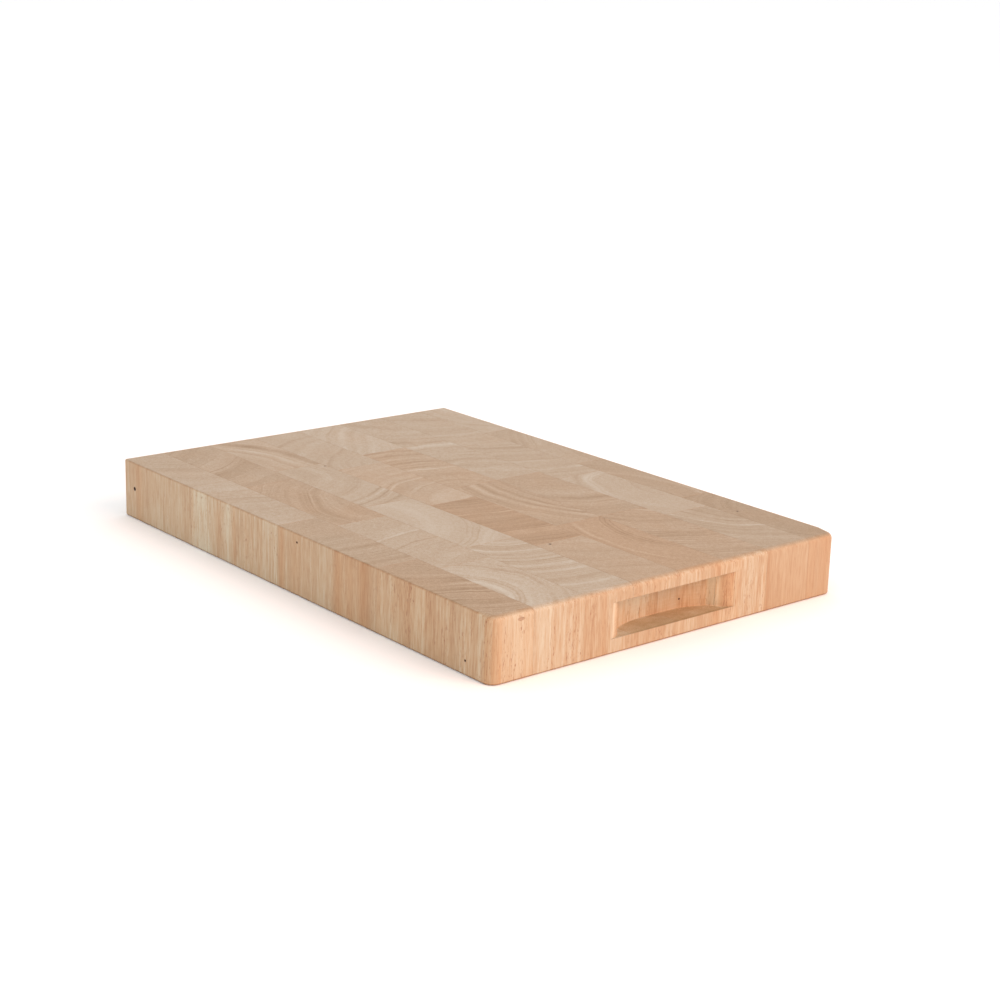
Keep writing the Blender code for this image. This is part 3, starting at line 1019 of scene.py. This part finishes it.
def add_bands(n, shade, place, bands, unit, offset=0.0):
    """Add smooth bands to a shade: (place, half width, tone), with the places in millimetres."""
    for distance, width, tone in bands:
        gap = n.minus(place, offset + distance * MM)
        band = n.smooth(n.math("ABSOLUTE", gap), width * MM, 0)
        shade = n.times_plus(band, tone * unit, shade)
    return shade


def darken_holes(n, colour, place, node):
    """Paint shade into a block's colour in its worm holes and close round them."""
    for name, point, face, width, _ in WORM_HOLES:
        if name != node:
            continue
        across = {
            "top": (1, 1, HOLE_DEPTH_SHARE),
            "front": (1, HOLE_DEPTH_SHARE, 1),
            "right": (HOLE_DEPTH_SHARE, 1, 1),
        }[face]
        gap = n.vector("MULTIPLY", n.vector("SUBTRACT", place, Vector(point) * MM), across)
        away = n.vector("LENGTH", gap, output="Value")
        hole = n.smooth(away, *(share * width * MM for share in HOLE_EDGE))
        colour = n.mix(hole, colour, HOLE_COLOUR + (1,))
    return colour


def darken_chips(n, colour, place, node):
    """Paint a little shade into a block's colour in its chips."""
    for name, point, size in CHIPS:
        if name != node:
            continue
        gap = n.vector("DIVIDE", n.vector("SUBTRACT", place, Vector(point) * MM), Vector(size) * MM)
        inside = n.smooth(n.vector("LENGTH", gap, output="Value"), *CHIP_EDGE)
        colour = n.mix(n.times(inside, CHIP_SHARE), colour, FLECK_COLOUR + (1,))
    return colour


def calm_share(n, calmest, full):
    """Return how strongly the rings show along X, from CALM_SHARE at one place to 1 at another."""
    place = n.split(n.add("TexCoord").outputs["Object"])["X"]
    return n.times_plus(n.smooth(place, calmest, full), 1 - CALM_SHARE, CALM_SHARE)


def along_face(n):
    """Return the place along an upright face, which is its Y on the ends and its X on the long sides, and
    1 on the ends and 0 on the long sides."""
    coordinates = n.add("TexCoord").outputs
    place = n.split(coordinates["Object"])
    facing = n.split(n.vector("ABSOLUTE", coordinates["Normal"]))
    on_end = n.math("GREATER_THAN", facing["X"], facing["Y"])
    depth = n.minus(CAD_HIGH.x, place["X"])
    across = n.times_plus(depth, STRIPE_LEAN, place["Y"])
    step = n.minus(across, place["X"])
    return n.times_plus(on_end, step, place["X"]), on_end


def row_and_number(node):
    """Return a block's row and its number in the row."""
    row, number = node.replace("row", "").split("_block")
    return int(row), int(number)


def seed(node):
    """Return the number that tells a block's noises from the others'."""
    row, number = row_and_number(node)
    return ROW_SEED * row + NUMBER_SEED * number


def ring_pattern(n, node, group, draw):
    """Return how much the growth rings and the bands of a block change its shade."""
    look = BLOCKS[node]
    low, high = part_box(node)
    middle = (low + high) / 2
    offset = Vector(look["pith"]) * MM
    inputs = {
        "Pith": (middle.x + offset.x, middle.y + offset.y, 0),
        "Lean": (draw.uniform(-LEAN_RANGE, LEAN_RANGE), draw.uniform(-LEAN_RANGE, LEAN_RANGE), 0),
        "Spacing": look["spacing"] * MM,
        "Bend": look["bend"],
        "Seed": seed(node),
    }
    rings = n.add("Group", inputs, node_tree=group).outputs
    pattern = n.times(rings["Rings"], look["rings"] * RING_SHADE)
    pattern = add_bands(n, pattern, rings["From Pith"], look["bands"], BAND_SHADE, offset.length)
    pattern = n.times(pattern, rings["Strength"])
    if look["calm"]:
        calmest, full = (middle.x + place * MM for place in look["calm"])
        pattern = n.times(pattern, calm_share(n, calmest, full))
    return pattern


def finish_wood(n, node, group, pattern, draw):
    """Add the node that finishes a block's wood, and return its outputs."""
    look = BLOCKS[node]
    low, high = block_box(node)
    average = (draw.uniform(-SIDE_SHADE_RANGE, SIDE_SHADE_RANGE), look["red"], 1, 1)
    shade, redness, long_grain, end_grain = SIDES.get(node, average)
    along, on_end = along_face(n)
    stripes = STRIPES.get(node, ())
    shades = [(place, width, tone) for place, width, tone, _ in stripes]
    rednesses = [(place, width, tone) for place, width, _, tone in stripes if tone]
    side = n.times_plus(pattern, SIDE_SHARE, AVERAGE_SHADE + shade * SHADE_STEP)
    inputs = {
        "Shade": n.plus(pattern, AVERAGE_SHADE + look["shade"] * SHADE_STEP),
        "Side": add_bands(n, side, along, shades, STRIPE_SHADE),
        "Red": look["red"],
        "Side Red": add_bands(n, redness, along, rednesses, 1.0),
        "Grain": n.times_plus(on_end, end_grain - long_grain, long_grain),
        "Flecks": look["flecks"],
        "Low": low,
        "High": high,
        "Seed": seed(node),
    }
    return n.add("Group", inputs, node_tree=group).outputs


def wood_material(node, groups):
    """Make the wood of one block."""
    draw = random.Random(node)
    material = bpy.data.materials.new(node + "_rubberwood")
    material.use_nodes = True
    n = Nodes(material.node_tree)
    shader = material.node_tree.nodes["Principled BSDF"]
    pattern = ring_pattern(n, node, groups["growth_rings"], draw)
    finish = finish_wood(n, node, groups["wood_finish"], pattern, draw)
    place = n.add("TexCoord").outputs["Object"]
    # painted shade in the worm holes and the chips
    colour = darken_holes(n, finish["Color"], place, node)
    colour = darken_chips(n, colour, place, node)
    relief = {"Strength": BUMP_STRENGTH, "Distance": BUMP_HEIGHT, "Height": finish["Height"]}
    n.feed(shader.inputs["IOR"], IOR)
    n.feed(shader.inputs["Base Color"], colour)
    n.feed(shader.inputs["Roughness"], finish["Roughness"])
    n.feed(shader.inputs["Normal"], n.add("Bump", relief).outputs["Normal"])
    return material


# ---------------- the stage


def add_camera():
    """Place the camera round its target."""
    data = bpy.data.cameras.new("camera")
    data.lens = LENS
    data.sensor_width = SENSOR
    data.clip_end = FARTHEST
    camera = bpy.data.objects.new("camera", data)
    bpy.context.scene.collection.objects.link(camera)
    azimuth = math.radians(VIEW_AZIMUTH)
    elevation = math.radians(VIEW_ELEVATION)
    back = Vector((
        math.sin(azimuth) * math.cos(elevation),
        -math.cos(azimuth) * math.cos(elevation),
        math.sin(elevation),
    ))
    roll = Matrix.Rotation(math.radians(VIEW_ROLL), 3, "Z")
    turn = (-back).to_track_quat("-Z", "Y").to_matrix() @ roll
    camera.matrix_world = Matrix.Translation(Vector(VIEW_TARGET) + back * VIEW_DISTANCE) @ turn.to_4x4()
    bpy.context.scene.camera = camera


def plain_material(name, colour, roughness):
    """Make a plain material for the stage."""
    material = bpy.data.materials.new(name)
    material.use_nodes = True
    shader = material.node_tree.nodes["Principled BSDF"]
    shader.inputs["Base Color"].default_value = colour + (1,)
    shader.inputs["Roughness"].default_value = roughness
    return material


def add_floor():
    """Add a plain white floor."""
    bm = bmesh.new()
    bmesh.ops.create_grid(bm, x_segments=1, y_segments=1, size=FLOOR_SIZE / 2)
    floor = new_object("floor", bm)
    floor.location.z = CAD_LOW.z - FLOOR_GAP
    floor.data.materials.append(plain_material("white_floor", WHITE, FLOOR_ROUGHNESS))
    floor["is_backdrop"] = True


def add_lights():
    """Light the scene with a white sky and a soft warm key light from the right."""
    world = bpy.data.worlds.new("white_sky")
    bpy.context.scene.world = world
    world.use_nodes = True
    background = world.node_tree.nodes["Background"]
    background.inputs["Color"].default_value = WHITE + (1,)
    background.inputs["Strength"].default_value = WORLD_STRENGTH
    data = bpy.data.lights.new("key", "AREA")
    data.shape = "DISK"
    data.size = KEY_SIZE
    data.energy = KEY_POWER
    data.color = KEY_COLOUR
    key = bpy.data.objects.new("key", data)
    bpy.context.scene.collection.objects.link(key)
    direction = Vector(KEY_DIRECTION).normalized()
    key.location = direction * KEY_DISTANCE
    key.rotation_euler = (-direction).to_track_quat("-Z", "Y").to_euler()


def main():
    """Put the scene together."""
    board = whole_board()
    groups = {"growth_rings": growth_rings(), "wood_finish": wood_finish()}
    for node in sorted(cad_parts):
        block = build_block(node, board)
        block.data.materials.clear()
        block.data.materials.append(wood_material(node, groups))
        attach(block, "root")
        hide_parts(node)
        row, number = row_and_number(node)
    remove(board)
    add_floor()
    add_lights()
    add_camera()
    bpy.context.scene.view_settings.view_transform = "Standard"


main()

low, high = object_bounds()
